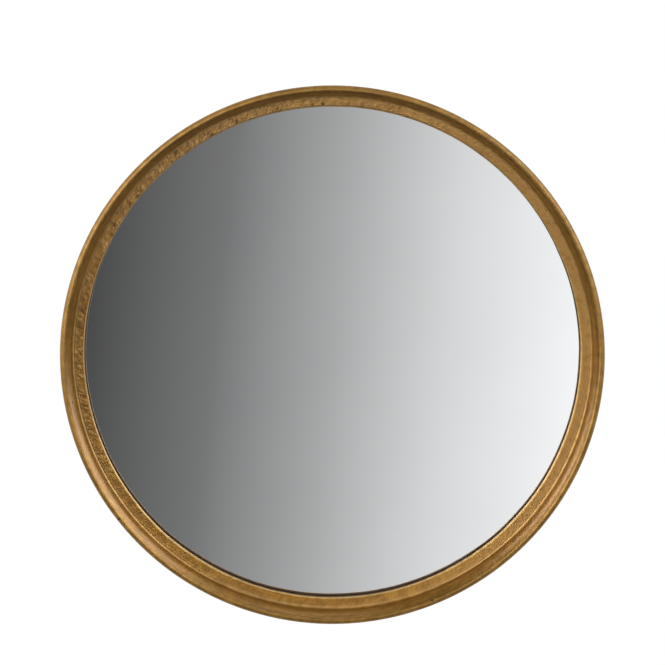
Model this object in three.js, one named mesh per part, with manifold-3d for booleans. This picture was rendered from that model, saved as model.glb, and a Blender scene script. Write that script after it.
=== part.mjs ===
// Convex butlers mirror: a sand-cast brass frame round a domed mirror glass. A board, held by turn
// buttons, closes the back, and a D-ring in a rolled strap hangs it on a wall hook.
// Millimetres, +Z up, the glass faces -Y. Every section is drawn about the mirror's own axis, which
// lies along Y, with the flat back of the frame at y = 0. The whole mirror is then moved so that
// the origin is the point where the hook carries the ring.

import * as THREE from 'three';
import { mergeVertices, toCreasedNormals } from 'three/addons/utils/BufferGeometryUtils.js';
import Module from 'manifold-3d';

const wasm = await Module();
wasm.setup();

// Mirror glass: a shallow cap of a sphere, even in thickness.
const glassRadius = 186;
const glassThickness = 3;
const glassCurveRadius = 2200;

// Frame casting, from the glass outwards: a flat ring, a fillet, a wall that swells towards the
// axis, and a lip that rolls over from the wall's crest to the outer side.
const boreClearance = 0.8;
const sightOverlap = 3.2;
const ringWidth = 7;
const ringThickness = 5;
const fillet = 2;
const wallWidth = 5.1;
const wallDepth = 17;
const wallSwell = 0.7;
const crestRound = 1.2;
const lipWidth = 3.1;
const lipDrop = 2.9;
const sideTaper = THREE.MathUtils.degToRad(9);
const edgeRound = 0.8;

// What lies between the glass, the frame and the wall.
const gasketThickness = 1;
const gasketInset = 0.8;
const packingWidth = 10;
const packingThickness = 5;
const glassPlay = 0.2;
const boardThickness = 5;
const boardClearance = 0.4;
const boardChamfer = 0.5;

// Turn buttons and their screws.
const buttonCount = 6;
const buttonLength = 26;
const buttonWidth = 8;
const buttonThickness = 1.2;
const buttonPlay = 0.1;
const holeClearance = 0.3;
const screwRadius = 1.5;
const screwLength = 10;
const screwPoint = 0.8;
const screwHeadRadius = 2.8;
const screwHeadHeight = 2;
const screwHeadSide = 0.9;
const crossLength = 3.2;
const crossWidth = 0.7;
const crossDepth = 1.1;
const holeOvershoot = 1;

// Hanger: a strap rolled round the straight bar of a D-ring, riveted to the board.
const pivotInset = 38;
const wireRadius = 1.2;
const wireBend = 2.5;
const wireJoint = 0.4;
const ringArm = 4;
const barPlay = 0.3;
const strapWidth = 14;
const strapThickness = 1;
const strapSidePlay = 0.5;
const rollEnd = THREE.MathUtils.degToRad(-115);
const rivetRadius = 1.6;
const rivetHeadRadius = 3;
const rivetHeadHeight = 1;
const rivetTailRadius = 2.4;
const rivetTailHeight = 1.5;
const rivetSpace = 5;

// Rubber pads between the board and the wall.
const padCount = 4;
const padRadius = 6.5;
const padTopRadius = 5.5;
const padThickness = 5.5;
const padInset = 26;

// Facets of round pieces.
const wideFacets = 96;
const smallFacets = 12;
const padFacets = 20;
const wireFacets = 8;
const ringSteps = 48;
const glassRings = 6;
const domeSteps = 3;
const curveSteps = 3;
const creaseAngle = THREE.MathUtils.degToRad(35);

// Radii from the mirror's axis.
const sightRadius = glassRadius - sightOverlap;
const boreRadius = glassRadius + boreClearance;
const boardRadius = boreRadius - boardClearance;
const gasketRadius = sightRadius + gasketInset;
const ringRadius = sightRadius + ringWidth;
const wallRadius = ringRadius + fillet;
const crestRadius = wallRadius + wallWidth;
const frameRadius = crestRadius + lipWidth;

// Places along the axis, from the back at y = 0 forward.
const boardFront = -boardThickness;
const glassRimBack = boardFront - packingThickness;
const glassBackCurve = glassCurveRadius - glassThickness;
const glassCentre = glassRimBack + Math.sqrt(glassBackCurve ** 2 - glassRadius ** 2);
const seat = glassFront(gasketRadius) - gasketThickness - glassPlay;
const ringFront = seat - ringThickness;
const crest = ringFront - wallDepth;
const lipEdge = crest + lipDrop;
const backRadius = frameRadius + lipEdge * Math.tan(sideTaper);

// Turn buttons lie on the rim, halfway across it.
const buttonCircle = (boreRadius + backRadius) / 2;
const buttonTop = buttonPlay + buttonThickness;
const screwSeat = buttonTop + buttonPlay;

// The hanger and the pads keep their distance from the edge of the glass.
const pivotHeight = glassRadius - pivotInset;
const padCircle = glassRadius - padInset;

// The D-ring, from its bar up, and the strap that holds the bar.
const rollInner = wireRadius + barPlay;
const rollOuter = rollInner + strapThickness;
const barHalf = strapWidth / 2 + strapSidePlay + wireBend;
const arcCentre = wireBend + ringArm;
const arcTop = arcCentre + barHalf;
const ringInside = arcTop - wireRadius;
const ringOutside = arcTop + wireRadius;
const rivetDrops = [(rollOuter + ringInside) / 2, ringOutside + rivetSpace + rivetHeadRadius];
const hookHeight = pivotHeight + ringInside;

// Height of the front face of the glass at a distance from the axis.
function glassFront(radius) {
  return glassCentre - Math.sqrt(glassCurveRadius ** 2 - radius ** 2);
}

// Height of the silvered back of the glass.
function glassBack(radius) {
  return glassCentre - Math.sqrt(glassBackCurve ** 2 - radius ** 2);
}

// Evenly spaced radii from one to another.
function radii(from, to, steps) {
  return Array.from({ length: steps + 1 }, (_, i) => from + ((to - from) * i) / steps);
}

// A solid for joining and cutting, from a closed geometry.
function solidOf(geometry) {
  const bare = geometry.clone();
  bare.deleteAttribute('normal');
  bare.deleteAttribute('uv');
  const merged = mergeVertices(bare);
  const corners = merged.index.array;
  const kept = [];
  for (let i = 0; i < corners.length; i += 3) {
    const [a, b, c] = corners.subarray(i, i + 3);
    if (a !== b && b !== c && c !== a) {
      kept.push(a, b, c);
    }
  }
  const vertProperties = merged.attributes.position.array;
  const triVerts = Uint32Array.from(kept);
  return new wasm.Manifold(new wasm.Mesh({ numProp: 3, vertProperties, triVerts }));
}

function geometryOf(solid) {
  const mesh = solid.getMesh();
  const geometry = new THREE.BufferGeometry();
  geometry.setAttribute('position', new THREE.BufferAttribute(mesh.vertProperties, 3));
  geometry.setIndex(new THREE.BufferAttribute(mesh.triVerts, 1));
  return geometry;
}

function cut(geometry, cutters) {
  const body = solidOf(geometry);
  return geometryOf(cutters.reduce((left, cutter) => left.subtract(solidOf(cutter)), body));
}

// A quarter of an ellipse, as profile points from its rim to its top on the axis.
function dome(radius, base, height) {
  return radii(0, Math.PI / 2, domeSteps).map((angle) => {
    return [radius * Math.cos(angle), base + height * Math.sin(angle)];
  });
}

// A body of revolution about Y, from a profile of [radius, y] points.
function turned(profile, facets) {
  const points = profile.map(([radius, y]) => new THREE.Vector2(radius, y));
  return new THREE.LatheGeometry(points, facets);
}

// A flat plate of a shape drawn in X and Z, from y = bottom up to y = top.
function plate(shape, bottom, top) {
  const geometry = new THREE.ExtrudeGeometry(shape, {
    depth: top - bottom,
    bevelEnabled: false,
    curveSegments: smallFacets / 2,
  });
  return geometry.rotateX(Math.PI / 2).translate(0, top, 0);
}

// A round hole along Y.
function hole(radius, bottom, top, x, z) {
  const cutter = new THREE.CylinderGeometry(radius, radius, top - bottom, smallFacets);
  return cutter.translate(x, (top + bottom) / 2, z);
}

function material(color, roughness, metalness) {
  return new THREE.MeshStandardMaterial({ color, roughness, metalness });
}

function piece(name, geometry, look) {
  const mesh = new THREE.Mesh(toCreasedNormals(geometry, creaseAngle), look);
  mesh.name = name;
  return mesh;
}

// Moves a mesh out from the axis to the top, then turns it round the axis, clockwise as seen from
// the front.
function placedRound(mesh, radius, turn) {
  const arm = new THREE.Group();
  mesh.position.set(0, 0, radius);
  arm.rotation.y = turn;
  arm.add(mesh);
  return arm;
}

// The frame's section runs round once: outer side, back, bore, seat, ring, fillet, wall and lip.
function frameProfile() {
  const section = new THREE.Path();
  const foot = new THREE.Vector2(wallRadius, ringFront - fillet);
  const top = new THREE.Vector2(crestRadius - crestRound, crest + crestRound);
  const rise = top.clone().sub(foot);
  const swell = new THREE.Vector2(rise.y, -rise.x).setLength(2 * wallSwell);
  const pull = foot.clone().add(top).divideScalar(2).add(swell);
  section.moveTo(frameRadius, lipEdge);
  section.lineTo(backRadius, -edgeRound);
  section.quadraticCurveTo(backRadius, 0, backRadius - edgeRound, 0);
  section.lineTo(boreRadius, 0);
  section.lineTo(boreRadius, seat);
  section.lineTo(sightRadius, seat);
  section.lineTo(sightRadius, ringFront + edgeRound);
  section.quadraticCurveTo(sightRadius, ringFront, sightRadius + edgeRound, ringFront);
  section.lineTo(ringRadius, ringFront);
  section.quadraticCurveTo(wallRadius, ringFront, foot.x, foot.y);
  section.quadraticCurveTo(pull.x, pull.y, top.x, top.y);
  section.quadraticCurveTo(crestRadius - crestRound / 2, crest, crestRadius, crest);
  section.absellipse(crestRadius, lipEdge, lipWidth, lipDrop, -Math.PI / 2, 0);
  return section;
}

function frameCasting() {
  const casting = new THREE.LatheGeometry(frameProfile().getPoints(curveSteps), wideFacets);
  const holes = turns(buttonCount).map((turn) => {
    const tip = screwSeat - screwLength - holeOvershoot;
    const cutter = hole(screwRadius + holeClearance, tip, holeOvershoot, 0, buttonCircle);
    return cutter.rotateY(turn);
  });
  return piece('frame_casting', cut(casting, holes), material(0x8c6a3c, 0.45, 1));
}

function mirrorGlass() {
  const front = radii(0, glassRadius, glassRings).map((r) => [r, glassFront(r)]);
  const back = radii(glassRadius, 0, glassRings).map((r) => [r, glassBack(r)]);
  return piece('mirror_glass', turned([...front, ...back], wideFacets), material(0xd8dadc, 0.03, 1));
}

// The gasket is flat against the seat and lies along the glass on its other side.
function glassGasket() {
  const profile = [
    [gasketRadius, seat],
    [glassRadius, seat],
    [glassRadius, glassFront(glassRadius) - glassPlay],
    [gasketRadius, glassFront(gasketRadius) - glassPlay],
    [gasketRadius, seat],
  ];
  return piece('glass_gasket', turned(profile, wideFacets), material(0x11110f, 0.8, 0));
}

function packingRing() {
  const inner = boardRadius - packingWidth;
  const profile = [
    [inner, glassBack(inner) + glassPlay],
    [boardRadius, glassBack(boardRadius) + glassPlay],
    [boardRadius, boardFront],
    [inner, boardFront],
    [inner, glassBack(inner) + glassPlay],
  ];
  return piece('packing_ring', turned(profile, wideFacets), material(0x3a3a3c, 0.95, 0));
}

function backBoard() {
  const profile = [
    [0, boardFront],
    [boardRadius, boardFront],
    [boardRadius, -boardChamfer],
    [boardRadius - boardChamfer, 0],
    [0, 0],
  ];
  const holes = rivetDrops.map((drop) => {
    const radius = rivetRadius + holeClearance;
    return hole(radius, boardFront - holeOvershoot, holeOvershoot, 0, pivotHeight - drop);
  });
  return piece('back_board', cut(turned(profile, wideFacets), holes), material(0x8d6b48, 0.85, 0));
}

// Even turns round the axis, with the top left free for the hanger.
function turns(count) {
  return Array.from({ length: count }, (_, i) => (Math.PI * (2 * i + 1)) / count);
}

function turnButton(index) {
  const end = buttonWidth / 2;
  const reach = buttonLength - buttonWidth;
  const outline = new THREE.Shape();
  outline.absarc(0, 0, end, 0, Math.PI);
  outline.absarc(0, -reach, end, Math.PI, 2 * Math.PI);
  const bore = new THREE.Path();
  bore.absarc(0, 0, screwRadius + holeClearance, 0, 2 * Math.PI);
  outline.holes.push(bore);
  return piece(`turn_button_${index}`, plate(outline, buttonPlay, buttonTop), material(0xb9b7b0, 0.4, 1));
}

function turnScrew(index) {
  const tip = screwSeat - screwLength;
  const profile = [
    [0, tip],
    [screwRadius - screwPoint, tip],
    [screwRadius, tip + screwPoint],
    [screwRadius, screwSeat],
    [screwHeadRadius, screwSeat],
    ...dome(screwHeadRadius, screwSeat + screwHeadSide, screwHeadHeight - screwHeadSide),
  ];
  const sides = [
    [crossLength, crossWidth],
    [crossWidth, crossLength],
  ];
  const cross = sides.map(([x, z]) => {
    return new THREE.BoxGeometry(x, 2 * crossDepth, z).translate(0, screwSeat + screwHeadHeight, 0);
  });
  const screw = cut(turned(profile, smallFacets), cross);
  return piece(`turn_screw_${index}`, screw, material(0xc4c2bb, 0.35, 1));
}

// The strap is one strip: a plate on the board, rolled over at the top round the ring's bar.
function hangerStrap() {
  const foot = -rivetDrops[1] - strapWidth / 2;
  const section = new THREE.Shape();
  section.moveTo(0, foot);
  section.lineTo(0, 0);
  section.absarc(rollOuter, 0, rollOuter, Math.PI, rollEnd, true);
  section.absarc(rollOuter, 0, rollInner, rollEnd, Math.PI, false);
  section.lineTo(strapThickness, foot);
  const strip = new THREE.ExtrudeGeometry(section, {
    depth: strapWidth,
    bevelEnabled: false,
    curveSegments: smallFacets / 2,
  });
  const along = new THREE.Vector3(1, 0, 0);
  const out = new THREE.Vector3(0, 1, 0);
  const up = new THREE.Vector3(0, 0, 1);
  strip.translate(0, 0, -strapWidth / 2);
  strip.applyMatrix4(new THREE.Matrix4().makeBasis(out, up, along));

  const outline = new THREE.Shape();
  outline.moveTo(strapWidth / 2, 2 * rollOuter);
  outline.lineTo(-strapWidth / 2, 2 * rollOuter);
  outline.absarc(0, -rivetDrops[1], strapWidth / 2, Math.PI, 2 * Math.PI);
  const rounded = solidOf(strip).intersect(solidOf(plate(outline, -holeOvershoot, 3 * rollOuter)));

  const holes = rivetDrops.map((drop) => {
    return hole(rivetRadius + holeClearance, -holeOvershoot, strapThickness + holeOvershoot, 0, -drop);
  });
  const strap = piece('hanger_strap', cut(geometryOf(rounded), holes), material(0xc0beb6, 0.38, 1));
  strap.position.z = pivotHeight;
  return strap;
}

// A curve in the plane of X and Z that follows a flat path.
class FlatCurve extends THREE.Curve {
  constructor(path) {
    super();
    this.path = path;
  }

  getPoint(t, target = new THREE.Vector3()) {
    const { x, y } = this.path.getPoint(t);
    return target.set(x, 0, y);
  }
}

// The D-ring is bent from one wire, whose ends meet in the middle of the bar, inside the roll.
function hangerRing() {
  const bend = barHalf - wireBend;
  const path = new THREE.Path();
  path.moveTo(wireJoint / 2, 0);
  path.lineTo(bend, 0);
  path.absarc(bend, wireBend, wireBend, -Math.PI / 2, 0);
  path.absarc(0, arcCentre, barHalf, 0, Math.PI);
  path.absarc(-bend, wireBend, wireBend, Math.PI, 1.5 * Math.PI);
  path.lineTo(-wireJoint / 2, 0);
  const section = new THREE.Shape();
  section.absarc(0, 0, wireRadius, 0, 2 * Math.PI);
  const wire = new THREE.ExtrudeGeometry(section, {
    steps: ringSteps,
    curveSegments: wireFacets / 2,
    extrudePath: new FlatCurve(path),
  });
  const ring = piece('hanger_ring', wire, material(0xc6c4bc, 0.3, 1));
  ring.position.set(0, rollOuter, pivotHeight);
  return ring;
}

// A rivet clamps the strap: domed head outside, set tail inside the board.
function hangerRivet(index, drop) {
  const tail = dome(rivetTailRadius, boardFront, -rivetTailHeight).reverse();
  const head = dome(rivetHeadRadius, strapThickness, rivetHeadHeight);
  const profile = [...tail, [rivetRadius, boardFront], [rivetRadius, strapThickness], ...head];
  const body = turned(profile, smallFacets);
  const rivet = piece(`hanger_rivet_${index}`, body, material(0xb4b4b4, 0.4, 1));
  rivet.position.z = pivotHeight - drop;
  return rivet;
}

function wallPad(index) {
  const profile = [
    [0, 0],
    [padRadius, 0],
    [padRadius, padThickness / 2],
    [padTopRadius, padThickness],
    [0, padThickness],
  ];
  return piece(`wall_pad_${index}`, turned(profile, padFacets), material(0x1b1b1a, 0.9, 0));
}

const mirror = new THREE.Group();
mirror.add(frameCasting(), mirrorGlass(), glassGasket(), packingRing(), backBoard());
turns(buttonCount).forEach((turn, i) => {
  mirror.add(placedRound(turnButton(i + 1), buttonCircle, turn));
  mirror.add(placedRound(turnScrew(i + 1), buttonCircle, turn));
});
mirror.add(hangerStrap(), hangerRing());
rivetDrops.forEach((drop, i) => mirror.add(hangerRivet(i + 1, drop)));
turns(padCount).forEach((turn, i) => mirror.add(placedRound(wallPad(i + 1), padCircle, turn)));
mirror.position.set(0, -rollOuter, -hookHeight);

const object = new THREE.Group();
object.add(mirror);

export default object;
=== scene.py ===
"""Looks of the convex butlers mirror: cast brass frame, mirror glass and the fittings on its back.

Everything is in metres, +Z up, and the glass faces -Y. Sections are drawn in the mirror's own
frame in millimetres: a radius from the axis, and a height y that is 0 on the flat back of the
frame and negative towards the front.
"""

import math

import bmesh
import bpy
from mathutils import Matrix, Vector, noise

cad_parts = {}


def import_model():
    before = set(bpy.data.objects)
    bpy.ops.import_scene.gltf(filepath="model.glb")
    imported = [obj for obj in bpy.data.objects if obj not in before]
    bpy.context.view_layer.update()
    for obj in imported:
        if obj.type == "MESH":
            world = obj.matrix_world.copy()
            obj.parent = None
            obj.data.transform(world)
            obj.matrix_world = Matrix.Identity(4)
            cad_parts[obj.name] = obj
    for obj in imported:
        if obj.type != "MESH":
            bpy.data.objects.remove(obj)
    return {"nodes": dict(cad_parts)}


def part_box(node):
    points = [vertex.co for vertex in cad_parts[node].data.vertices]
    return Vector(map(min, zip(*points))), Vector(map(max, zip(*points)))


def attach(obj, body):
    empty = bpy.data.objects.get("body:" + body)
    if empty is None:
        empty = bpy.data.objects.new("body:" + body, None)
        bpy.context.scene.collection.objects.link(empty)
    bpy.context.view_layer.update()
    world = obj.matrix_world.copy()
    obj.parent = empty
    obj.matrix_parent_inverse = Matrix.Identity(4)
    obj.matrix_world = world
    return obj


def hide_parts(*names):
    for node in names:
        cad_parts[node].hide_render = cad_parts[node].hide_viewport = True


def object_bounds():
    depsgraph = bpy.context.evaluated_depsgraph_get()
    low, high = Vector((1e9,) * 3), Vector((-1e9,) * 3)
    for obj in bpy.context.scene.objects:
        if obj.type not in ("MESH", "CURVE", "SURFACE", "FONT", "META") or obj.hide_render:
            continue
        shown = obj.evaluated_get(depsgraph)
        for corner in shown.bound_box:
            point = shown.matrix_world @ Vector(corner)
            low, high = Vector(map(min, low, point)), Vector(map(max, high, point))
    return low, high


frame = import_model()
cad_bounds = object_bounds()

MM = 0.001
FULL_TURN = 2 * math.pi

# The mirror's axis and flat back, from the back board.
BOARD_LOW, BOARD_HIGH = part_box("back_board")
CENTRE = Vector(((BOARD_LOW[0] + BOARD_HIGH[0]) / 2, BOARD_HIGH[1], (BOARD_LOW[2] + BOARD_HIGH[2]) / 2))

# Mirror glass and what it lies on, in millimetres.
GLASS_RADIUS = 186.0
GLASS_THICKNESS = 3.0
GLASS_CURVE = 2200.0
GLASS_PLAY = 0.2
GASKET_THICKNESS = 1.0
GASKET_INSET = 0.8
PACKING_THICKNESS = 5.0
BOARD_THICKNESS = 5.0

# Frame section, from the glass outwards, in millimetres. The ring slopes back towards the glass.
BORE_CLEARANCE = 0.8
SIGHT_OVERLAP = 3.2
RING_WIDTH = 7.0
RING_THICKNESS = 5.0
RING_SLOPE = 0.4
FILLET = 2.0
WALL_WIDTH = 5.1
WALL_DEPTH = 17.0
WALL_SWELL = 0.7
CREST_ROUND = 1.2
LIP_WIDTH = 3.1
LIP_DROP = 2.9
SIDE_TAPER = math.radians(9)
EDGE_ROUND = 0.8

# Turn buttons and their screws, in millimetres.
BUTTON_COUNT = 6
BUTTON_WIDTH = 8.0
BUTTON_REACH = 18.0
BUTTON_THICKNESS = 1.2
BUTTON_PLAY = 0.1
BUTTON_BEVEL = 0.2
HOLE_CLEARANCE = 0.3
SCREW_RADIUS = 1.5
SCREW_LENGTH = 10.0
SCREW_POINT = 0.8
SCREW_HEAD_RADIUS = 2.8
SCREW_HEAD_HEIGHT = 2.0
SCREW_HEAD_SIDE = 0.9
CROSS_LENGTH = 3.2
CROSS_WIDTH = 0.7
CROSS_DEPTH = 1.1

# Hanger: a D-ring of wire in a rolled strap, which two rivets hold, in millimetres.
PIVOT_INSET = 38.0
WIRE_RADIUS = 1.2
WIRE_BEND = 2.5
WIRE_JOINT = 0.4
RING_ARM = 4.0
BAR_PLAY = 0.3
STRAP_WIDTH = 14.0
STRAP_THICKNESS = 1.0
STRAP_SIDE_PLAY = 0.5
STRAP_BEVEL = 0.12
ROLL_END = math.radians(-115)
RIVET_RADIUS = 1.6
RIVET_HEAD_RADIUS = 3.0
RIVET_HEAD_HEIGHT = 1.0
RIVET_TAIL_RADIUS = 2.4
RIVET_TAIL_HEIGHT = 1.5
RIVET_SPACE = 5.0

# Wall pads, in millimetres.
PAD_COUNT = 4
PAD_INSET = 26.0
PAD_RADIUS = 6.5
PAD_TOP_RADIUS = 5.5
PAD_THICKNESS = 5.5
PAD_STRAIGHT = 1.2
PAD_SHOULDER = 0.2
PAD_ROUND = 0.8

# Steps round the axis of turned pieces.
FRAME_STEPS = 960
GLASS_STEPS = 384
SCREW_STEPS = 40
PAD_STEPS = 48

# Radii from the mirror's axis.
SIGHT_RADIUS = GLASS_RADIUS - SIGHT_OVERLAP
GASKET_RADIUS = SIGHT_RADIUS + GASKET_INSET
RING_RADIUS = SIGHT_RADIUS + RING_WIDTH
WALL_FOOT = RING_RADIUS + FILLET
CREST_RADIUS = WALL_FOOT + WALL_WIDTH
FRAME_RADIUS = CREST_RADIUS + LIP_WIDTH
BORE_RADIUS = GLASS_RADIUS + BORE_CLEARANCE
PAD_CIRCLE = GLASS_RADIUS - PAD_INSET

# The glass is a cap of a sphere, whose centre lies far behind it.
GLASS_RIM_BACK = -BOARD_THICKNESS - PACKING_THICKNESS
GLASS_BACK_CURVE = GLASS_CURVE - GLASS_THICKNESS
GLASS_CENTRE = GLASS_RIM_BACK + math.sqrt(GLASS_BACK_CURVE**2 - GLASS_RADIUS**2)


def glass_front(radius):
    """Height of the front face of the glass at a distance from the axis."""
    return GLASS_CENTRE - math.sqrt(GLASS_CURVE**2 - radius**2)


def glass_back(radius):
    """Height of the silvered back of the glass."""
    return GLASS_CENTRE - math.sqrt(GLASS_BACK_CURVE**2 - radius**2)


# Heights of the frame, from the seat of the glass forward.
SEAT = glass_front(GASKET_RADIUS) - GASKET_THICKNESS - GLASS_PLAY
RING_FRONT = SEAT - RING_THICKNESS
SIGHT_FRONT = RING_FRONT + RING_SLOPE
CREST = RING_FRONT - WALL_DEPTH
LIP_EDGE = CREST + LIP_DROP
BACK_RADIUS = FRAME_RADIUS + LIP_EDGE * math.tan(SIDE_TAPER)

# Turn buttons lie on the rim, halfway across it.
BUTTON_CIRCLE = (BORE_RADIUS + BACK_RADIUS) / 2
BUTTON_TOP = BUTTON_PLAY + BUTTON_THICKNESS
SCREW_SEAT = BUTTON_TOP + BUTTON_PLAY
SCREW_TOP = SCREW_SEAT + SCREW_HEAD_HEIGHT

# The strap's roll, and the D-ring from its bar up. The rivets lie below the bar.
PIVOT_HEIGHT = GLASS_RADIUS - PIVOT_INSET
ROLL_INNER = WIRE_RADIUS + BAR_PLAY
ROLL_OUTER = ROLL_INNER + STRAP_THICKNESS
BAR_HALF = STRAP_WIDTH / 2 + STRAP_SIDE_PLAY + WIRE_BEND
ARC_CENTRE = WIRE_BEND + RING_ARM
ARC_TOP = ARC_CENTRE + BAR_HALF
RIVET_DROPS = (
    (ROLL_OUTER + ARC_TOP - WIRE_RADIUS) / 2,
    ARC_TOP + WIRE_RADIUS + RIVET_SPACE + RIVET_HEAD_RADIUS,
)

# The camera looks from this far above the mirror's axis, so it sees what lies as far below it.
VIEW_ANGLE = math.radians(8.5)

# The card that the mirror reflects: its middle, its radius and soft edge in degrees, and its greys
# by place, from left to right. The slant and shift set where the places lie.
CARD_DIRECTION = (0, -math.cos(VIEW_ANGLE), -math.sin(VIEW_ANGLE))
CARD_ANGLE = 13.5
CARD_FADE = 5.0
CARD_SLANT = 0.1
CARD_SHIFT = 0.487
CARD_GREYS = [
    (0.1, 0.03),
    (0.29, 0.069),
    (0.4, 0.184),
    (0.5, 0.41),
    (0.6, 0.705),
    (0.71, 0.955),
    (0.9, 1.0),
]

# The room round the card: dark ahead of the mirror, up to the first angle, and less so at the
# sides, from the second. Behind the mirror it is white, with a soft edge.
DARK_ROOM = 0.03
SIDE_ROOM = 0.16
DARK_ANGLE = math.radians(38)
SIDE_ANGLE = math.radians(62)
WHITE_EDGE = 0.08

WARM_LIGHT = (1.0, 0.96, 0.88)
COOL_LIGHT = (0.98, 0.98, 1.0)

# Soft glows in the room in front: polar and clock angle, radius in degrees, strength, colour.
GLOWS = [
    (29, 290, 13.6, 5.0, WARM_LIGHT),
    (48, 68, 19, 2.6, COOL_LIGHT),
]

# Lamps: name, polar and clock angle, width and height in metres, power in watts, colour.
LAMPS = [
    ("left_side", 74, 285, 1.6, 2.4, 26, WARM_LIGHT),
    ("top", 47, 15, 2.2, 1.3, 6.5, WARM_LIGHT),
    ("right_side", 75, 58, 1.5, 1.8, 14, COOL_LIGHT),
]
LAMP_DISTANCE = 3.0


# ---------------------------------------------------------------- meshes

# Edges over these angles stay sharp, in degrees: on round pieces, and on plates, which look flat.
ROUND_ANGLE = 40
FLAT_ANGLE = 14

# Points that lie closer than this, in metres, are joined.
JOIN_DISTANCE = 1e-7


def as_object(name, mesh, sharp_angle=ROUND_ANGLE):
    mesh.polygons.foreach_set("use_smooth", [True] * len(mesh.polygons))
    mesh.set_sharp_from_angle(angle=math.radians(sharp_angle))
    made = bpy.data.objects.new(name, mesh)
    bpy.context.collection.objects.link(made)
    return made


def join_near_points(mesh):
    work = bmesh.new()
    work.from_mesh(mesh)
    bmesh.ops.remove_doubles(work, verts=work.verts, dist=JOIN_DISTANCE)
    work.to_mesh(mesh)
    work.free()


def placed(made, radius=0.0, turn=0.0, height=0.0):
    """Moves a mesh drawn round the origin out to a radius, turned clockwise as seen from the front."""
    out = Matrix.Translation(Vector((0, height * MM, radius * MM)))
    made.data.transform(Matrix.Translation(CENTRE) @ Matrix.Rotation(turn, 4, "Y") @ out)
    made.data.update()
    return made


def lathe(name, section, steps, relief=None):
    """A body of revolution about Y from (radius, y) points in millimetres, anticlockwise. relief
    gives each point's own (radius, y), from its number in the section and its angle."""
    verts = []
    for i in range(steps):
        angle = FULL_TURN * i / steps
        for j, (radius, y) in enumerate(section):
            if relief:
                radius, y = relief(j, angle)
            verts.append((radius * math.sin(angle) * MM, y * MM, radius * math.cos(angle) * MM))
    rows = len(section)
    closed = section[0][0] > 0 and section[-1][0] > 0
    faces = []
    for i in range(steps):
        here, there = i * rows, (i + 1) % steps * rows
        for j in range(rows if closed else rows - 1):
            k = (j + 1) % rows
            faces.append((here + j, there + j, there + k, here + k))
    mesh = bpy.data.meshes.new(name)
    mesh.from_pydata(verts, [], faces)
    if not closed:
        join_near_points(mesh)
    return as_object(name, mesh)


def mesh_of(made):
    """The mesh of an object with its modifiers or curve settings applied; the object is deleted."""
    seen = made.evaluated_get(bpy.context.evaluated_depsgraph_get())
    mesh = bpy.data.meshes.new_from_object(seen)
    bpy.data.objects.remove(made)
    join_near_points(mesh)
    return mesh


def flat_plate(name, outlines, bottom, top, bevel):
    """A plate with rounded edges, from closed (x, z) outlines in millimetres; the second is a hole."""
    curve = bpy.data.curves.new(name, "CURVE")
    curve.dimensions = "2D"
    curve.fill_mode = "BOTH"
    curve.extrude = ((top - bottom) / 2 - bevel) * MM
    curve.bevel_depth = bevel * MM
    curve.bevel_resolution = 2
    curve.offset = -bevel * MM
    for outline in outlines:
        spline = curve.splines.new("POLY")
        spline.points.add(len(outline) - 1)
        spline.use_cyclic_u = True
        for point, (x, z) in zip(spline.points, outline):
            point.co = (x * MM, z * MM, 0, 1)
    flat = bpy.data.objects.new(name, curve)
    bpy.context.collection.objects.link(flat)
    mesh = mesh_of(flat)
    mesh.transform(Matrix.Rotation(math.pi / 2, 4, "X"))
    mesh.transform(Matrix.Translation((0, (top + bottom) / 2 * MM, 0)))
    return as_object(name, mesh, FLAT_ANGLE)


def combined(made, other, operation, sharp_angle=ROUND_ANGLE):
    """made cut by, or kept inside, another object, which is deleted."""
    change = made.modifiers.new("shape", "BOOLEAN")
    change.operation = operation
    change.solver = "EXACT"
    change.object = other
    name = made.name
    mesh = mesh_of(made)
    bpy.data.objects.remove(other)
    return as_object(name, mesh, sharp_angle)


def arc(x, z, radius, start, end, steps):
    """Points of an arc, with its angles in radians, anticlockwise where end is over start."""
    turns = [start + (end - start) * i / steps for i in range(steps + 1)]
    return [(x + radius * math.cos(t), z + radius * math.sin(t)) for t in turns]


def bent(start, pull, end, steps):
    """Points of a quadratic curve after its start point."""
    points = []
    for i in range(1, steps + 1):
        t = i / steps
        a, b, c = (1 - t) ** 2, 2 * t * (1 - t), t * t
        points.append((a * start[0] + b * pull[0] + c * end[0], a * start[1] + b * pull[1] + c * end[1]))
    return points


def straight(start, end, steps):
    """Points of a straight line after its start point."""
    return bent(start, ((start[0] + end[0]) / 2, (start[1] + end[1]) / 2), end, steps)


def dome(radius, base, height, steps=8):
    """A quarter of an ellipse, from its rim to its top on the axis."""
    turns = [math.pi / 2 * i / steps for i in range(steps)]
    side = [(radius * math.cos(t), base + height * math.sin(t)) for t in turns]
    return [*side, (0, base + height)]


# ---------------------------------------------------------------- materials


def linear(red, green, blue):
    """A colour given in 0 to 255, as it looks on a screen, in Blender's linear values."""
    parts = [c / 255 for c in (red, green, blue)]
    return [p / 12.92 if p <= 0.04045 else ((p + 0.055) / 1.055) ** 2.4 for p in parts] + [1.0]


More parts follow.
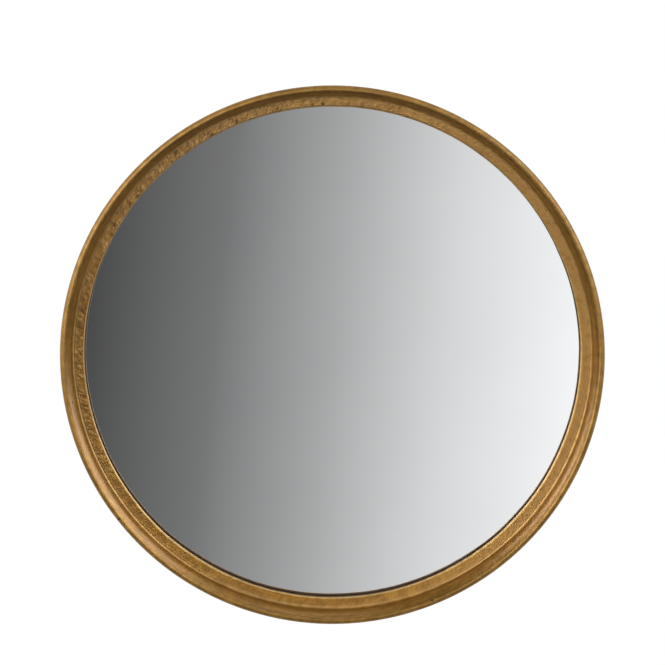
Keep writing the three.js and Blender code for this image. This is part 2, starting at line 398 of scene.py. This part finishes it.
class Nodes:
    """A short way to write the nodes of a material or a world: each call makes one node and gives
    its output."""

    def __init__(self, owner):
        owner.use_nodes = True
        self.owner = owner
        self.tree = owner.node_tree

    def put(self, socket, value):
        if isinstance(value, bpy.types.NodeSocket):
            self.tree.links.new(value, socket)
        else:
            socket.default_value = value

    def node(self, kind, **inputs):
        made = self.tree.nodes.new(kind)
        for key, value in inputs.items():
            self.put(made.inputs[key.replace("_", " ")], value)
        return made

    def math(self, operation, *values, clamp=False):
        made = self.tree.nodes.new("ShaderNodeMath")
        made.operation = operation
        made.use_clamp = clamp
        for socket, value in zip(made.inputs, values):
            self.put(socket, value)
        return made.outputs[0]

    def mix(self, factor, first, second):
        made = self.tree.nodes.new("ShaderNodeMix")
        made.data_type = "RGBA"
        self.put(made.inputs[0], factor)
        self.put(made.inputs[6], first)
        self.put(made.inputs[7], second)
        return made.outputs[2]

    def spread(self, value, low, high, first=0.0, last=1.0):
        """value, taken from low to high, as first to last."""
        ends = {"From_Min": low, "From_Max": high, "To_Min": first, "To_Max": last}
        return self.node("ShaderNodeMapRange", Value=value, **ends).outputs[0]

    def noise(self, vector, scale, detail=3.0, roughness=0.55):
        settings = {"Scale": scale, "Detail": detail, "Roughness": roughness}
        return self.node("ShaderNodeTexNoise", Vector=vector, **settings).outputs["Fac"]

    def attribute(self, name):
        made = self.tree.nodes.new("ShaderNodeAttribute")
        made.attribute_name = name
        return made.outputs["Fac"]

    def position(self):
        """The place on the piece, from the mirror's centre, in metres."""
        place = self.tree.nodes.new("ShaderNodeTexCoord").outputs["Object"]
        moved = self.tree.nodes.new("ShaderNodeVectorMath")
        moved.operation = "SUBTRACT"
        self.tree.links.new(place, moved.inputs[0])
        moved.inputs[1].default_value = CENTRE
        return moved.outputs[0]

    def round_position(self, stretch, slant=0.0):
        """A place for patterns that follow the frame. They are drawn out by stretch from the glass
        outwards, and slant turns them away from the radius."""
        x, y, z = self.node("ShaderNodeSeparateXYZ", Vector=self.position()).outputs
        squares = self.math("ADD", self.math("MULTIPLY", x, x), self.math("MULTIPLY", z, z))
        radius = self.math("SQRT", squares)
        middle = RING_RADIUS * MM
        joined = self.tree.nodes.new("ShaderNodeCombineXYZ")
        self.put(joined.inputs[0], self.math("MULTIPLY", self.math("DIVIDE", x, radius), middle))
        self.put(joined.inputs[1], self.math("MULTIPLY", self.math("DIVIDE", z, radius), middle))
        self.put(joined.inputs[2], self.math("DIVIDE", self.math("SUBTRACT", radius, y), stretch))
        turned = self.tree.nodes.new("ShaderNodeVectorRotate")
        turned.rotation_type = "Z_AXIS"
        self.put(turned.inputs["Vector"], joined.outputs[0])
        outwards = self.math("SUBTRACT", radius, middle)
        self.put(turned.inputs["Angle"], self.math("MULTIPLY", outwards, slant / middle))
        return turned.outputs[0]

    def bump(self, height, distance, strength=1.0):
        made = self.node("ShaderNodeBump", Height=height, Strength=strength, Distance=distance)
        return made.outputs[0]

    def finish(self, **inputs):
        """Sets a material's shader and gives the material."""
        shader = self.tree.nodes["Principled BSDF"]
        for key, value in inputs.items():
            self.put(shader.inputs[key.replace("_", " ")], value)
        return self.owner


def antique_brass():
    """Waxed cast brass: duller than bare metal, browned in the corners and scuffed bright on edges,
    where highlights are painted too, with painted shade on the ring's inner side wall by the glass.
    Its ring is as cast and roughest at the upper left; painted light makes it paler at the upper right."""
    made = Nodes(bpy.data.materials.new("antique_brass"))
    wear_and_highlight, grime_and_shade, rough = (made.attribute(name) for name in ("wear_and_highlight", "grime_and_shade", "rough"))
    x, _, z = made.node("ShaderNodeSeparateXYZ", Vector=made.position()).outputs

    def towards(side, up, low, high, first, last):
        """first to last along a direction across the mirror, on the rough-cast ring only."""
        along = made.math("ADD", made.math("MULTIPLY", x, side), made.math("MULTIPLY", z, up))
        return made.math("MULTIPLY", rough, made.spread(along, low, high, first, last))

    raw = towards(-0.8, 0.6, 0.0, 0.17, 0.15, 1.0)
    # Painted light: the ring is painted paler towards the upper right, standing in for the light falling
    # there.
    pale = towards(0.79, 0.62, -0.12, 0.05, 0.0, 0.85)

    cloud = made.noise(made.position(), 30, 4)
    mottle = made.noise(made.round_position(1.2, 0.3), 190, 4, 0.6)
    freckles = made.noise(made.round_position(1), 450, 3, 0.7)
    turning = made.noise(made.round_position(0.06), 20, 3, 0.6)
    grain = made.noise(made.round_position(1), 1100, 3, 0.65)
    strokes = made.noise(made.round_position(2.2, 0.6), 480, 3, 0.65)
    pits = made.node("ShaderNodeTexVoronoi", Vector=made.round_position(1), Scale=85.0)
    chosen = made.math("LESS_THAN", pits.outputs["Color"], 0.24)
    pitted = made.math("MULTIPLY", chosen, made.spread(pits.outputs["Distance"], 0.12, 0.07))

    olive = made.mix(made.spread(cloud, 0.35, 0.65), linear(156, 114, 30), linear(172, 122, 40))
    middle = made.mix(made.spread(mottle, 0.42, 0.66), olive, linear(192, 142, 54))
    turned = made.mix(made.spread(turning, 0.5, 0.32, 0.0, 0.7), middle, linear(132, 90, 26))
    # Painted light: the paler colour of the ring's lit side.
    painted_lit_side = made.mix(pale, turned, linear(212, 164, 94))
    clouded = made.math("ADD", mottle, made.math("MULTIPLY", freckles, 0.8))
    stains = made.math("MULTIPLY", rough, made.spread(clouded, 0.86, 0.64, 0.0, 0.5))
    stained = made.mix(stains, painted_lit_side, linear(126, 84, 34))
    scratches = made.math("MULTIPLY", raw, made.spread(strokes, 0.54, 0.64, 0.0, 0.9))
    scratched = made.mix(scratches, stained, linear(84, 54, 18))
    # Dark brown for dirt, and painted shade on the ring's inner side wall by the glass.
    aged_and_shaded = made.mix(grime_and_shade, scratched, linear(46, 28, 8))
    flecks = made.math("MULTIPLY", raw, made.spread(strokes, 0.46, 0.36, 0.0, 0.9))
    # Bright scuffing on edges, which also paints highlights along the ring's inner edge, its outer edge
    # and the crest; the flecks are bright spots on the rough cast.
    rubbed_and_highlit = made.math("MULTIPLY", wear_and_highlight, made.spread(mottle, 0.36, 0.56, 0.6, 1.0))
    bright = made.mix(made.math("MAXIMUM", flecks, rubbed_and_highlit), aged_and_shaded, linear(230, 192, 126))
    colour = made.mix(made.math("MULTIPLY", pitted, 0.85), bright, linear(56, 36, 14))

    # Dirt and the painted shade take away the metal and the coat.
    free_of_grime_and_shade = made.math("SUBTRACT", 1.0, grime_and_shade, clamp=True)
    coarse = made.math("ADD", made.math("MULTIPLY", rough, 0.12), made.math("MULTIPLY", grime_and_shade, 0.4))
    smooth = made.math("MULTIPLY", grain, 0.003)
    cast = made.math("MULTIPLY", raw, made.math("ADD", strokes, made.math("MULTIPLY", grain, 0.25)))
    height = made.math("SUBTRACT", made.math("ADD", smooth, cast), made.math("MULTIPLY", pitted, 0.15))
    return made.finish(
        Base_Color=colour,
        Metallic=made.math("MULTIPLY", free_of_grime_and_shade, 0.75),
        Roughness=made.math("ADD", made.spread(cloud, 0.3, 0.7, 0.37, 0.45), coarse),
        Coat_Weight=made.math("MULTIPLY", free_of_grime_and_shade, 0.5),
        Coat_Roughness=0.27,
        Normal=made.bump(height, 0.002, 0.9),
    )


def silvered_glass():
    made = Nodes(bpy.data.materials.new("silvered_glass"))
    film = made.noise(made.position(), 14, 4)
    colour = made.mix(made.spread(film, 0.3, 0.7), linear(250, 251, 252), linear(246, 248, 249))
    return made.finish(Base_Color=colour, Metallic=1.0, Roughness=made.spread(film, 0.4, 0.8, 0.0, 0.012))


def black_rubber():
    made = Nodes(bpy.data.materials.new("black_rubber"))
    grain = made.noise(made.position(), 2500, 3)
    colour = made.mix(made.spread(grain, 0.3, 0.7), linear(20, 18, 14), linear(38, 35, 29))
    return made.finish(Base_Color=colour, Roughness=0.7, Normal=made.bump(grain, 0.0001, 0.4))


def grey_foam():
    made = Nodes(bpy.data.materials.new("grey_foam"))
    cells = made.node("ShaderNodeTexVoronoi", Vector=made.position(), Scale=1800).outputs["Distance"]
    colour = made.mix(made.spread(cells, 0.1, 0.6), linear(46, 46, 48), linear(84, 84, 88))
    return made.finish(Base_Color=colour, Roughness=0.95, Normal=made.bump(cells, 0.0003, 0.6))


def brown_mdf():
    made = Nodes(bpy.data.materials.new("brown_mdf"))
    fibres = made.noise(made.position(), 1400, 5, 0.75)
    chips = made.noise(made.position(), 260, 3, 0.6)
    cloud = made.noise(made.position(), 9, 2)
    base = made.mix(made.spread(cloud, 0.3, 0.7), linear(168, 132, 92), linear(182, 146, 104))
    flecked = made.mix(made.spread(fibres, 0.5, 0.72, 0, 0.7), base, linear(112, 82, 52))
    colour = made.mix(made.spread(chips, 0.6, 0.75, 0, 0.5), flecked, linear(206, 174, 132))
    return made.finish(Base_Color=colour, Roughness=0.8, Normal=made.bump(fibres, 0.0001, 0.35))


def plated_steel():
    made = Nodes(bpy.data.materials.new("plated_steel"))
    cloud = made.noise(made.position(), 240, 4)
    fine = made.noise(made.position(), 3000, 2)
    colour = made.mix(made.spread(cloud, 0.35, 0.65), linear(196, 194, 186), linear(222, 221, 214))
    return made.finish(
        Base_Color=colour,
        Metallic=1.0,
        Roughness=made.spread(cloud, 0.3, 0.7, 0.26, 0.42),
        Normal=made.bump(fine, 0.00002, 0.5),
    )


BRASS = antique_brass()
MIRROR = silvered_glass()
RUBBER = black_rubber()
FOAM = grey_foam()
MDF = brown_mdf()
STEEL = plated_steel()


def dress(made, material, slot, body, *nodes):
    """Gives a piece its material, the body it rides on and the CAD nodes that it stands for."""
    made.data.materials.clear()
    made.data.materials.append(material)
    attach(made, body)
    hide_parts(*nodes)
    return made


# ---------------------------------------------------------------- the frame casting


def frame_section():
    """The points of the frame's section, and for each one its scuffing and painted highlight, its dirt
    and painted shade, and how rough-cast it is.
    """
    points, wear_and_highlight, grime_and_shade, rough = [], [], [], []

    def add(span, worn_and_highlit=0.0, dirt_and_shade=0.0, cast=0.0):
        """Adds a stretch; each look is a value or a function of the share of the stretch."""
        for i, point in enumerate(span):
            share = i / max(len(span) - 1, 1)
            points.append(point)
            for values, value in ((wear_and_highlight, worn_and_highlit), (grime_and_shade, dirt_and_shade), (rough, cast)):
                values.append(value(share) if callable(value) else value)

    foot = Vector((WALL_FOOT, RING_FRONT - FILLET))
    top = Vector((CREST_RADIUS - CREST_ROUND, CREST + CREST_ROUND))
    swell = Vector((foot.y - top.y, top.x - foot.x)).normalized() * -2 * WALL_SWELL
    middle = (foot + top) / 2 + swell
    lip_steps = 12
    turns = [math.pi / 2 * i / lip_steps for i in range(1, lip_steps + 1)]
    lip = [(CREST_RADIUS + LIP_WIDTH * math.sin(t), LIP_EDGE - LIP_DROP * math.cos(t)) for t in turns]
    crest = bent(top, (CREST_RADIUS - 0.5 * CREST_ROUND, CREST), (CREST_RADIUS, CREST), 8)
    fillet = bent((RING_RADIUS, RING_FRONT), (WALL_FOOT, RING_FRONT), foot, 10)
    sight_edge = (SIGHT_RADIUS + EDGE_ROUND, SIGHT_FRONT)
    sight_side = (SIGHT_RADIUS, SIGHT_FRONT + EDGE_ROUND)
    sight_wall = straight((SIGHT_RADIUS, SEAT), (SIGHT_RADIUS, SIGHT_FRONT + 1.5 * EDGE_ROUND), 6)
    back_side = (BACK_RADIUS, -EDGE_ROUND)
    back_edge = (BACK_RADIUS - EDGE_ROUND, 0)

    add(straight((FRAME_RADIUS, LIP_EDGE), back_side, 10), dirt_and_shade=0.25)
    add(bent(back_side, (BACK_RADIUS, 0), back_edge, 4), worn_and_highlit=0.3)
    add(straight(back_edge, (BORE_RADIUS, 0), 5), dirt_and_shade=0.2, cast=0.4)
    add(straight((BORE_RADIUS, 0), (BORE_RADIUS, SEAT), 3), dirt_and_shade=0.6)
    add(straight((BORE_RADIUS, SEAT), (SIGHT_RADIUS, SEAT), 2), dirt_and_shade=0.9)
    # Painted shade: the ring's inner side wall is made dark, dull and not metallic down to the glass,
    # where the gap lies in shadow.
    add(sight_wall, dirt_and_shade=lambda s: 1 - 0.7 * s**2)
    # Painted highlight: the ring's inner edge is painted bright all along, partly as edge scuffing.
    add([sight_side], worn_and_highlit=1.0)
    add(bent(sight_side, (SIGHT_RADIUS, SIGHT_FRONT), sight_edge, 5), worn_and_highlit=1.0)
    # Painted highlight: the ring is painted brighter towards its outer edge and into the fillet, along
    # the line that catches the light, partly as scuffing.
    add(straight(sight_edge, (RING_RADIUS, RING_FRONT), 12), worn_and_highlit=lambda s: 0.45 * s**4, cast=1.0)
    add(fillet, worn_and_highlit=lambda s: 0.7 * (1 - s) ** 2)
    add(bent(foot, middle, top, 20), dirt_and_shade=lambda s: 0.6 * (1 - s) ** 4)
    # Painted highlight: a faint bright line along the crest, partly as scuffing.
    add(crest, worn_and_highlit=0.2)
    add(lip, worn_and_highlit=lambda s: 0.2 * (1 - s), dirt_and_shade=lambda s: 0.1 + 0.3 * s)
    return points, wear_and_highlight, grime_and_shade, rough


def frame_relief(points, rough):
    """The hand-made unevenness of the casting: a wavy inner edge and a lumpy ring."""
    wave_height, wave_reach = 0.3, 5
    lump_height, grain_height = 0.08, 0.06
    behind_seat = SEAT + 0.1

    def relief(j, angle):
        radius, y = points[j]
        around = Vector((math.sin(angle), math.cos(angle), 0))
        wave = noise.noise(around * 5 + Vector((0, 0, 3))) + 0.4 * noise.noise(around * 17)
        lumps = noise.noise(around * 60 + Vector((0, 0, radius * 0.3)))
        grain = noise.noise(around * 150 + Vector((0, 0, radius * 0.8)))
        inner = max(0.0, 1 - (radius - SIGHT_RADIUS) / wave_reach) if y < behind_seat else 0.0
        radius += wave_height * wave * inner
        y += rough[j] * (lump_height * lumps + grain_height * grain)
        return radius, y

    return relief


def frame_casting():
    points, wear_and_highlight, grime_and_shade, rough = frame_section()
    casting = lathe("cast_frame", points, FRAME_STEPS, frame_relief(points, rough))
    for name, values in (("wear_and_highlight", wear_and_highlight), ("grime_and_shade", grime_and_shade), ("rough", rough)):
        field = casting.data.attributes.new(name, "FLOAT", "POINT")
        field.data.foreach_set("value", values * FRAME_STEPS)
    placed(casting)
    return dress(casting, BRASS, "antique_brass", "mirror", "frame_casting")


# ---------------------------------------------------------------- glass and what it lies on


def mirror_glass():
    rings = 60
    radii = [GLASS_RADIUS * i / rings for i in range(rings + 1)]
    section = [(r, glass_front(r)) for r in radii] + [(r, glass_back(r)) for r in reversed(radii)]
    glass = placed(lathe("mirror_face", section, GLASS_STEPS))
    return dress(glass, MIRROR, "silvered_glass", "mirror", "mirror_glass")


def glass_gasket():
    section = [
        (GASKET_RADIUS, SEAT),
        (GLASS_RADIUS, SEAT),
        (GLASS_RADIUS, glass_front(GLASS_RADIUS) - GLASS_PLAY),
        (GASKET_RADIUS, glass_front(GASKET_RADIUS) - GLASS_PLAY),
    ]
    bead = placed(lathe("gasket_bead", section, GLASS_STEPS))
    return dress(bead, RUBBER, "black_rubber", "mirror", "glass_gasket")


# ---------------------------------------------------------------- turn buttons


def turn_button(index, turn):
    end = BUTTON_WIDTH / 2
    outline = arc(0, 0, end, 0, math.pi, 24) + arc(0, -BUTTON_REACH, end, math.pi, FULL_TURN, 24)
    bore = arc(0, 0, SCREW_RADIUS + HOLE_CLEARANCE, 0, FULL_TURN, 32)[:-1]
    plate = flat_plate(f"button_plate_{index}", [outline, bore], BUTTON_PLAY, BUTTON_TOP, BUTTON_BEVEL)
    placed(plate, BUTTON_CIRCLE, turn)
    return dress(plate, STEEL, "plated_steel", f"button_{index}", f"turn_button_{index}")


def cross_cutter():
    """A cross that narrows downwards, for the recess in a screw's head."""
    overshoot = 0.5
    narrow_x, narrow_z = 0.7, 0.55
    half, arm = CROSS_WIDTH / 2, CROSS_LENGTH / 2
    outline = [(half, half), (half, arm), (-half, arm)]
    for _ in range(3):
        outline += [(-z, x) for x, z in outline[-3:]]
    top = (SCREW_TOP + overshoot) * MM
    bottom = (SCREW_TOP - CROSS_DEPTH) * MM
    verts = [(x * MM, top, z * MM) for x, z in outline]
    verts += [(x * narrow_x * MM, bottom, z * narrow_z * MM) for x, z in outline]
    count = len(outline)
    sides = [(i, (i + 1) % count, (i + 1) % count + count, i + count) for i in range(count)]
    caps = [tuple(range(count - 1, -1, -1)), tuple(range(count, 2 * count))]
    mesh = bpy.data.meshes.new("cross")
    mesh.from_pydata(verts, [], sides + caps)
    work = bmesh.new()
    work.from_mesh(mesh)
    bmesh.ops.recalc_face_normals(work, faces=work.faces)
    work.to_mesh(mesh)
    work.free()
    return as_object("cross", mesh)


def turn_screw(index, turn):
    tip = SCREW_SEAT - SCREW_LENGTH
    side = SCREW_SEAT + SCREW_HEAD_SIDE
    section = [
        (0, tip),
        (SCREW_RADIUS - SCREW_POINT, tip),
        (SCREW_RADIUS, tip + SCREW_POINT),
        (SCREW_RADIUS, SCREW_SEAT),
        (SCREW_HEAD_RADIUS, SCREW_SEAT),
        *dome(SCREW_HEAD_RADIUS, side, SCREW_TOP - side, 10),
    ]
    screw = combined(lathe(f"screw_{index}", section, SCREW_STEPS), cross_cutter(), "DIFFERENCE")
    placed(screw, BUTTON_CIRCLE, turn)
    return dress(screw, STEEL, "plated_steel", "mirror", f"turn_screw_{index}")


# ---------------------------------------------------------------- hanger


def hanger_strap():
    """One strip, drawn from its side and rolled over at the top, with its foot then cut round."""
    half = STRAP_WIDTH / 2
    foot = -RIVET_DROPS[1] - half
    roll = arc(ROLL_OUTER, 0, ROLL_OUTER, math.pi, ROLL_END, 32)
    roll += arc(ROLL_OUTER, 0, ROLL_INNER, ROLL_END, math.pi, 32)
    section = [(0, foot), *roll, (STRAP_THICKNESS, foot)]
    strip = flat_plate("hanger_strip", [section], -half, half, STRAP_BEVEL)
    strip.data.transform(Matrix.Rotation(math.pi / 2, 4, "Z"))

    # What is kept is a hair narrower than the strip, and reaches past its roll and both its faces.
    side = half - 0.02
    over_roll = 9
    foot_arc = arc(0, -RIVET_DROPS[1], side, math.pi, FULL_TURN, 32)
    outline = [(side, over_roll), (-side, over_roll), *foot_arc]
    kept = flat_plate("strap_outline", [outline], -2, 8, 0.1)
    strip = combined(strip, kept, "INTERSECT", FLAT_ANGLE)
    placed(strip, PIVOT_HEIGHT)
    return dress(strip, STEEL, "plated_steel", "mirror", "hanger_strap")


def hanger_ring():
    """Bent from one wire, whose ends meet in the middle of the bar."""
    bend = BAR_HALF - WIRE_BEND
    path = [(WIRE_JOINT / 2, 0)]
    path += arc(bend, WIRE_BEND, WIRE_BEND, -math.pi / 2, 0, 10)
    path += arc(0, ARC_CENTRE, BAR_HALF, 0, math.pi, 48)
    path += arc(-bend, WIRE_BEND, WIRE_BEND, math.pi, 1.5 * math.pi, 10)
    path += [(-WIRE_JOINT / 2, 0)]
    curve = bpy.data.curves.new("wire_path", "CURVE")
    curve.dimensions = "3D"
    curve.bevel_depth = WIRE_RADIUS * MM
    curve.bevel_resolution = 6
    curve.use_fill_caps = True
    spline = curve.splines.new("POLY")
    spline.points.add(len(path) - 1)
    for point, (x, z) in zip(spline.points, path):
        point.co = (x * MM, 0, z * MM, 1)
    wire = bpy.data.objects.new("wire_path", curve)
    bpy.context.collection.objects.link(wire)
    ring = as_object("hanger_wire", mesh_of(wire))
    placed(ring, PIVOT_HEIGHT, height=ROLL_OUTER)
    return dress(ring, STEEL, "plated_wire", "ring", "hanger_ring")


def hanger_rivet(index, drop):
    tail = dome(RIVET_TAIL_RADIUS, -BOARD_THICKNESS, -RIVET_TAIL_HEIGHT)[::-1]
    head = dome(RIVET_HEAD_RADIUS, STRAP_THICKNESS, RIVET_HEAD_HEIGHT)
    section = [*tail, (RIVET_RADIUS, -BOARD_THICKNESS), (RIVET_RADIUS, STRAP_THICKNESS), *head]
    rivet = placed(lathe(f"rivet_{index}", section, SCREW_STEPS), PIVOT_HEIGHT - drop)
    return dress(rivet, STEEL, "plated_steel", "mirror", f"hanger_rivet_{index}")


def wall_pad(index, turn):
    shoulder = (PAD_TOP_RADIUS + PAD_SHOULDER, PAD_THICKNESS - PAD_ROUND)
    top_edge = (PAD_TOP_RADIUS - PAD_ROUND, PAD_THICKNESS)
    section = [
        (0, 0),
        (PAD_RADIUS, 0),
        (PAD_RADIUS, PAD_STRAIGHT),
        shoulder,
        *bent(shoulder, (PAD_TOP_RADIUS, PAD_THICKNESS), top_edge, 6),
        (0, PAD_THICKNESS),
    ]
    pad = placed(lathe(f"rubber_pad_{index}", section, PAD_STEPS), PAD_CIRCLE, turn)
    return dress(pad, RUBBER, "black_rubber", "mirror", f"wall_pad_{index}")


# ---------------------------------------------------------------- the room


def camera():
    """Seen a little from above, through a long lens; the mirror lies low in the picture."""
    distance = 4.0
    metres_per_pixel = 0.000734
    pixels = 665
    seen_centre = Vector((332.4, 356.65))
    data = bpy.data.cameras.new("camera")
    data.sensor_width = 36
    data.lens = data.sensor_width * distance / (pixels * metres_per_pixel)
    data.clip_end = 60
    back = Vector((0, -math.cos(VIEW_ANGLE), math.sin(VIEW_ANGLE)))
    up = Vector((0, math.sin(VIEW_ANGLE), math.cos(VIEW_ANGLE)))
    shift = (seen_centre - Vector((pixels / 2, pixels / 2))) * metres_per_pixel
    lip = CENTRE + Vector((0, LIP_EDGE * MM, 0))
    made = bpy.data.objects.new("camera", data)
    made.location = lip + back * distance + up * shift.y + Vector((-shift.x, 0, 0))
    made.rotation_euler = back.to_track_quat("Z", "Y").to_euler()
    bpy.context.collection.objects.link(made)
    bpy.context.scene.camera = made


def off_axis(polar, clock):
    """A direction by its angle from straight ahead of the glass and its angle clockwise from the
    top, as seen from the front, both in degrees."""
    polar, clock = math.radians(polar), math.radians(clock)
    side = math.sin(polar)
    return Vector((side * math.sin(clock), -math.cos(polar), side * math.cos(clock)))


def lamp(name, direction, width, height, power, colour):
    """A soft rectangular lamp that faces the mirror from a direction."""
    data = bpy.data.lights.new(name, "AREA")
    data.shape = "RECTANGLE"
    data.size = width
    data.size_y = height
    data.energy = power
    data.color = colour
    made = bpy.data.objects.new(name, data)
    made.location = CENTRE + LAMP_DISTANCE * direction
    made.rotation_euler = direction.to_track_quat("Z", "Y").to_euler()
    bpy.context.collection.objects.link(made)


def grey(value):
    return (value, value, value, 1.0)


def world():
    """A white room behind the mirror. The room in front of it, which the glass and the brass
    reflect, is dark round a card that runs from dark on the left to light on the right."""
    made = Nodes(bpy.data.worlds.new("studio"))
    bpy.context.scene.world = made.owner
    direction = made.tree.nodes.new("ShaderNodeTexCoord").outputs["Generated"]
    x, y, z = made.node("ShaderNodeSeparateXYZ", Vector=direction).outputs

    def change(value, low, high, first, second):
        """first where value is below low, second where it is above high."""
        share = made.node("ShaderNodeMapRange", Value=value, From_Min=low, From_Max=high)
        share.interpolation_type = "SMOOTHSTEP"
        return made.mix(share.outputs[0], first, second)

    def round_patch(middle, outer, inner, around, inside):
        """inside round a direction, and around beyond the outer angle from it, in degrees."""
        towards = made.tree.nodes.new("ShaderNodeVectorMath")
        towards.operation = "DOT_PRODUCT"
        made.put(towards.inputs[0], direction)
        made.put(towards.inputs[1], middle)
        low, high = math.cos(math.radians(outer)), math.cos(math.radians(inner))
        return change(towards.outputs["Value"], low, high, around, inside)

    slanted = made.math("SUBTRACT", x, made.math("MULTIPLY", z, CARD_SLANT))
    card = made.node("ShaderNodeValToRGB", Fac=made.math("ADD", slanted, CARD_SHIFT))
    while len(card.color_ramp.elements) < len(CARD_GREYS):
        card.color_ramp.elements.new(0.5)
    for element, (where, value) in zip(card.color_ramp.elements, CARD_GREYS):
        element.position = where
        element.color = grey(value)

    ahead, aside = -math.cos(DARK_ANGLE), -math.cos(SIDE_ANGLE)
    front = change(y, ahead, aside, grey(DARK_ROOM), grey(SIDE_ROOM))
    for polar, clock, radius, strength, colour in GLOWS:
        light = [strength * channel for channel in colour] + [1.0]
        front = round_patch(off_axis(polar, clock), 1.3 * radius, 0.7 * radius, front, light)
    front = round_patch(CARD_DIRECTION, CARD_ANGLE + CARD_FADE, CARD_ANGLE, front, card.outputs[0])
    room = change(y, 0.0, WHITE_EDGE, front, grey(1.0))

    path = made.tree.nodes.new("ShaderNodeLightPath").outputs
    reflected = made.math("MAXIMUM", path["Is Glossy Ray"], path["Is Transmission Ray"])
    behind = made.math("MULTIPLY", reflected, made.math("GREATER_THAN", y, 0.0))
    white = made.math("MAXIMUM", path["Is Camera Ray"], behind)
    seen = change(white, 0.0, 1.0, room, grey(1.0))
    made.put(made.tree.nodes["Background"].inputs[0], seen)


def floor():
    """A pale round floor below and behind the mirror, white to the camera and in reflections."""
    radius, thickness, drop = 7.0, 0.02, 1.0
    brightness = 1.03
    white_share = 0.95
    steps = 64
    rim = radius / MM
    underside = -thickness / MM
    made = lathe("floor", [(0, underside), (rim, underside), (rim, 0), (0, 0)], steps)
    made.data.transform(Matrix.Rotation(math.pi / 2, 4, "X"))
    made.data.transform(Matrix.Translation((0, radius, cad_bounds[0][2] - drop)))

    nodes = Nodes(bpy.data.materials.new("pale_floor"))
    pale = nodes.finish(Base_Color=linear(244, 244, 242), Roughness=0.8)
    lit = nodes.node("ShaderNodeEmission", Strength=brightness)
    path = nodes.tree.nodes.new("ShaderNodeLightPath").outputs
    reflected = nodes.math("MAXIMUM", path["Is Glossy Ray"], path["Is Transmission Ray"])
    seen = nodes.math("MAXIMUM", path["Is Camera Ray"], reflected)
    mixed = nodes.tree.nodes.new("ShaderNodeMixShader")
    nodes.put(mixed.inputs[0], nodes.math("MULTIPLY", seen, white_share))
    nodes.put(mixed.inputs[1], nodes.tree.nodes["Principled BSDF"].outputs[0])
    nodes.put(mixed.inputs[2], lit.outputs[0])
    nodes.put(nodes.tree.nodes["Material Output"].inputs[0], mixed.outputs[0])
    made.data.materials.append(pale)


frame_casting()
mirror_glass()
glass_gasket()
for button in range(BUTTON_COUNT):
    button_turn = FULL_TURN * (button + 0.5) / BUTTON_COUNT
    turn_button(button + 1, button_turn)
    turn_screw(button + 1, button_turn)
hanger_strap()
hanger_ring()
for number, rivet_drop in enumerate(RIVET_DROPS):
    hanger_rivet(number + 1, rivet_drop)
for pad_number in range(PAD_COUNT):
    wall_pad(pad_number + 1, FULL_TURN * (pad_number + 0.5) / PAD_COUNT)
for node_name, look in (("back_board", MDF), ("packing_ring", FOAM)):
    carried = frame["nodes"][node_name]
    carried.data.materials.clear()
    carried.data.materials.append(look)

camera()
world()
floor()
for lamp_name, polar_angle, clock_angle, *settings in LAMPS:
    lamp(lamp_name, off_axis(polar_angle, clock_angle), *settings)

view = bpy.context.scene.view_settings
view.view_transform = "Standard"
